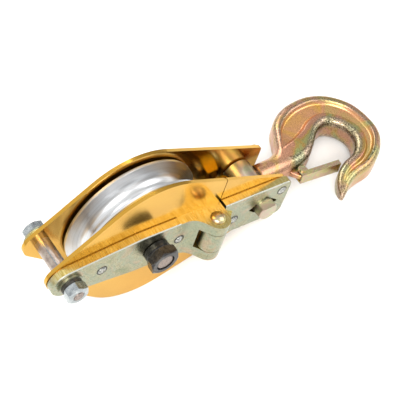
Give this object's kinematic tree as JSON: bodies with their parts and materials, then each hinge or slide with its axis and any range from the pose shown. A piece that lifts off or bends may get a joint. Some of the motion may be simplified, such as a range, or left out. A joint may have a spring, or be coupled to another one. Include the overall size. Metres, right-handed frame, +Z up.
{
  "type": "snatch block with swivel hook",
  "caption": "Opening pulley block: grooved sheave on a ball bearing between two strapped cheek plates, hinged side gate, tail clamp bolt and a swivelling latched hook on a crosshead.",
  "frame": {"origin": "bottom centre of the bounding box, on the surface the block lies on", "axes": "+X from the tail towards the hook, +Y towards the cheek with the bolt heads, +Z up"},
  "size_m": [0.3328, 0.102, 0.1314],
  "materials": {
    "cheek": "yellow-gold zinc plating, glossy",
    "strap": "yellow chromate zinc plating, satin",
    "rivet": "bright",
    "black": "black oxide",
    "sheave": "machined and polished",
    "bright": "ground",
    "zinc": "bright zinc plating",
    "yellow_zinc": "yellow chromate zinc plating",
    "forging": "forged steel, yellow chromate zinc plating"
  },
  "bodies": {
    "frame": {"far_cheek_plate": "cheek", "far_strap": "strap", "far_rivets": "rivet", "fixed_cheek_plate": "cheek", "fixed_strap": "strap", "fixed_rivets": "rivet", "hinge_pin": "rivet", "axle": "black", "axle_spacer_far": "bright", "axle_spacer_near": "bright", "bearing_inner_race": "bright", "clamp_bolt": "zinc", "bolt_head_washer": "yellow_zinc", "spacer_tube": "yellow_zinc"},
    "sheave": {"sheave": "sheave", "bearing_outer_race": "bright", "bearing_balls": "bright", "bearing_cage": "bright", "bearing_circlip": "black"},
    "gate": {"gate_cheek_plate": "cheek", "gate_strap": "strap", "gate_rivets": "rivet"},
    "axle_nut": {"axle_nut": "black"},
    "bolt_nut": {"bolt_nut": "zinc", "bolt_spring_washer": "black", "bolt_near_washer": "yellow_zinc"},
    "crosshead": {"crosshead": "yellow_zinc"},
    "hook": {"hook": "forging", "shank_washer": "zinc", "shank_nut": "zinc", "shank_nut_pin": "zinc", "latch_pin": "zinc"},
    "latch": {"latch": "yellow_zinc", "latch_spring": "bright"}
  },
  "joints": [
    {"name": "sheave_spin", "type": "hinge", "parent": "frame", "child": "sheave", "pos_m": [-0.07454, 0.00203, 0.06574], "axis": [0, 1, 0], "continuous": true},
    {"name": "gate_swing", "type": "hinge", "parent": "frame", "child": "gate", "pos_m": [-0.02564, -0.03107, 0.05125], "axis": [0.284, 0, 0.9588], "range_deg": [0, 60]},
    {"name": "axle_nut_lift_off", "type": "slide", "parent": "frame", "child": "axle_nut", "axis": [0, -1, 0], "range_m": [0, 0.116]},
    {"name": "bolt_nut_lift_off", "type": "slide", "parent": "frame", "child": "bolt_nut", "axis": [0, -1, 0], "range_m": [0, 0.158]},
    {"name": "hook_tilt", "type": "hinge", "parent": "frame", "child": "crosshead", "pos_m": [0.03045, 0.00203, 0.03463], "axis": [0, 1, 0], "range_deg": [-23, 36]},
    {"name": "hook_swivel", "type": "hinge", "parent": "crosshead", "child": "hook", "pos_m": [0.03045, 0.00203, 0.03463], "axis": [0.985, 0, -0.1725], "continuous": true},
    {"name": "latch_swing", "type": "hinge", "parent": "hook", "child": "latch", "pos_m": [0.07931, -0.01277, 0.02608], "axis": [0.1725, 0, 0.985], "range_deg": [0, 36], "stiffness_Nm_per_rad": 0.02, "springref_deg": -57.3}
  ],
  "couplings": [
    {"joint": "axle_nut_lift_off", "follows": "gate_swing", "m_per_rad": 0.11},
    {"joint": "bolt_nut_lift_off", "follows": "gate_swing", "m_per_rad": 0.15}
  ]
}
